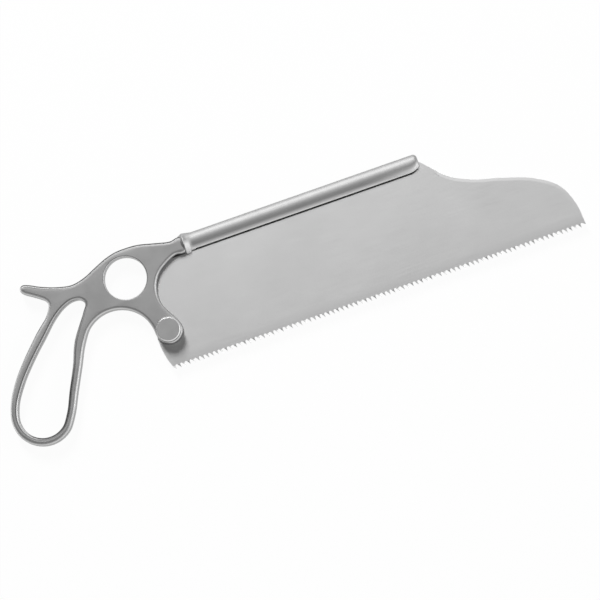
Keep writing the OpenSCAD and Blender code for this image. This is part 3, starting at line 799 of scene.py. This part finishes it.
def makeClamp(s):
    r, low, high, c = s["knob"], s["knobFrom"], s["knobTo"], s["chamfer"]
    steps = [(r - c, low), (r, low + c), (r, high - c), (r - c, high)]
    knob = turnedPiece("clampKnob", steps, studPlace, s["knobSides"])
    bore = [(s["knobBore"], low - s["over"]), (s["knobBore"], low + s["boreDeep"])]
    cutAway(knob, turnedPiece("knobBore", bore, studPlace, s["boreSides"]))
    softEdges(knob, s["round"], s["roundSteps"], s["knobAngle"])
    smoothFaces(knob, s["smooth"])
    dress(knob, clampSteel, "clamp_steel", "knob", "clamp_knob")
    steps = [(s["washer"], s["washerFrom"]), (s["washer"], s["washerTo"])]
    washer = turnedPiece("clampWasher", steps, studPlace, s["washerSides"])
    bore = [(s["washerBore"], s["washerFrom"] - s["over"]), (s["washerBore"], s["washerTo"] + s["over"])]
    cutAway(washer, turnedPiece("washerBore", bore, studPlace, s["boreSides"]))
    softEdges(washer, s["round"], s["roundSteps"], s["washerAngle"])
    smoothFaces(washer, s["smooth"])
    dress(washer, clampSteel, "clamp_steel", "washer", "clamp_washer")


makeClamp(clampSizes)
for node, finish in (("clamp_stud", clampSteel), ("threaded_bush", clampSteel), ("tang_pins", backSteel)):
    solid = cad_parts[node]
    solid.data.materials.clear()
    solid.data.materials.append(finish)
print("clamp made")


# floor, light and camera, in metres
stageSizes = {"floor": 20.0, "middle": (0.09, -0.04), "under": 0.0002, "whiteMix": 0.95,
              "paper": (0.9, 0.9, 0.9, 1), "white": (1, 1, 1, 1), "glow": 1.0}


def makeFloor(s):
    pickNothing()
    bpy.ops.mesh.primitive_plane_add(size=s["floor"], location=(*s["middle"], cadBox[0][2] - s["under"]))
    floor = bpy.context.active_object
    floor.name = "studioFloor"
    finish = bpy.data.materials.new("paperFloor")
    finish.use_nodes = True
    tree = finish.node_tree
    tree.nodes.clear()
    out = tree.nodes.new("ShaderNodeOutputMaterial")
    paper = tree.nodes.new("ShaderNodeBsdfDiffuse")
    paper.inputs["Color"].default_value = s["paper"]
    white = tree.nodes.new("ShaderNodeEmission")
    white.inputs["Color"].default_value = s["white"]
    white.inputs["Strength"].default_value = s["glow"]
    path = tree.nodes.new("ShaderNodeLightPath")
    seen = mathNode(tree, "MAXIMUM", path.outputs["Is Camera Ray"], path.outputs["Is Glossy Ray"])
    seen = mathNode(tree, "MAXIMUM", seen, path.outputs["Is Transmission Ray"])
    mix = tree.nodes.new("ShaderNodeMixShader")
    tree.links.new(productNode(tree, seen, s["whiteMix"]), mix.inputs[0])
    tree.links.new(paper.outputs[0], mix.inputs[1])
    tree.links.new(white.outputs[0], mix.inputs[2])
    tree.links.new(mix.outputs[0], out.inputs["Surface"])
    floor.data.materials.append(finish)


makeFloor(stageSizes)


skySizes = {"horizon": 0.52, "zenith": 0.06, "ringTop": 0.5, "holeEdge": 0.9, "leanToe": 0.55, "leanFront": 0.75,
            "colour": (1, 1, 1, 1)}


def makeSky(s):
    world = bpy.data.worlds.new("studioSky")
    bpy.context.scene.world = world
    world.use_nodes = True
    tree = world.node_tree
    back = tree.nodes["Background"]
    view = coordParts(tree, "Generated")
    glow = rangeNode(tree, view["Z"], s["horizon"], s["zenith"], s["ringTop"], s["holeEdge"])
    toe = productNode(tree, view["X"], s["leanToe"])  # lighter past the toe and in front
    front = productNode(tree, view["Y"], -s["leanFront"])
    side = mathNode(tree, "ADD", mathNode(tree, "ADD", toe, front), 1.0)
    tree.links.new(productNode(tree, glow, side), back.inputs["Strength"])
    back.inputs["Color"].default_value = s["colour"]


makeSky(skySizes)


keySizes = {"name": "keyLamp", "target": (0.09, -0.03, 0.0), "towards": (-0.047, 0.75, 0.66), "away": 3.0,
            "wide": 0.7, "tall": 1.35, "watts": 80.0}
sideSizes = {"name": "sideLamp", "target": (0.0, -0.03, 0.0), "towards": (0.80, -0.16, 0.58), "away": 3.0,
             "wide": 0.7, "tall": 0.7, "watts": 13.0}


def makeLamp(s):
    lamp = bpy.data.lights.new(s["name"], "AREA")
    lamp.shape = "ELLIPSE"
    lamp.size = s["wide"]
    lamp.size_y = s["tall"]
    lamp.energy = s["watts"]
    holder = bpy.data.objects.new(s["name"], lamp)
    bpy.context.scene.collection.objects.link(holder)
    aim = Vector(s["towards"]).normalized()
    holder.location = Vector(s["target"]) + aim * s["away"]
    holder.rotation_euler = aim.to_track_quat("Z", "Y").to_euler()


makeLamp(keySizes)
makeLamp(sideSizes)


cameraSizes = {"place": (0.1483, -0.3423, 2.2966), "target": (0.09165, -0.04533, 0), "up": (0.3245, 0.9459, 0),
               "lens": 240.0, "sensor": 36.0, "nearest": 0.01}


def makeCamera(s):
    lens = bpy.data.cameras.new("photoCamera")
    lens.lens = s["lens"]
    lens.sensor_width = s["sensor"]
    lens.clip_start = s["nearest"]
    camera = bpy.data.objects.new("photoCamera", lens)
    bpy.context.scene.collection.objects.link(camera)
    away = (Vector(s["place"]) - Vector(s["target"])).normalized()
    right = Vector(s["up"]).cross(away).normalized()
    up = away.cross(right)
    turn = Matrix((right, up, away)).transposed().to_4x4()
    camera.matrix_world = Matrix.Translation(Vector(s["place"])) @ turn
    bpy.context.scene.camera = camera


makeCamera(cameraSizes)
bpy.context.scene.view_settings.view_transform = "Standard"
print("floor, light and camera set")

pickNothing()
